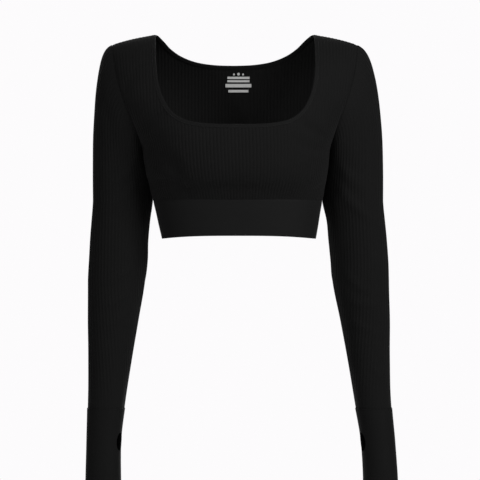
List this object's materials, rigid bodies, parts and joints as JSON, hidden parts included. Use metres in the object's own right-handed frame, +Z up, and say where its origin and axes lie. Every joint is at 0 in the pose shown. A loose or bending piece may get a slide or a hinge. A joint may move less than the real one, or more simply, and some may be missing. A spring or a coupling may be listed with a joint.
{
  "type": "crop top",
  "caption": "Long-sleeved ribbed crop top with a wide square-scooped neck, a plain underbust band and thumb-hole cuffs, kept in its worn hollow form.",
  "frame": {"origin": "midway between the shoulders, at the height of the shoulder straps, where the wearer's shoulders hold the top", "axes": "+X towards the wearer's left, -Y towards the front, +Z up"},
  "size_m": [0.4648, 0.2226, 0.6706],
  "materials": {
    "ribbed_knit": "matte black vertical rib knit",
    "plain_knit": "matte black smooth fine knit"
  },
  "bodies": {
    "root": {"body_front": "ribbed_knit", "body_back": "ribbed_knit", "sleeve_left": "ribbed_knit", "sleeve_right": "ribbed_knit", "neck_binding": "plain_knit", "band_front": "plain_knit", "band_back": "plain_knit", "cuff_left_front": "plain_knit", "cuff_left_back": "plain_knit", "cuff_right_front": "plain_knit", "cuff_right_back": "plain_knit"}
  },
  "joints": []
}
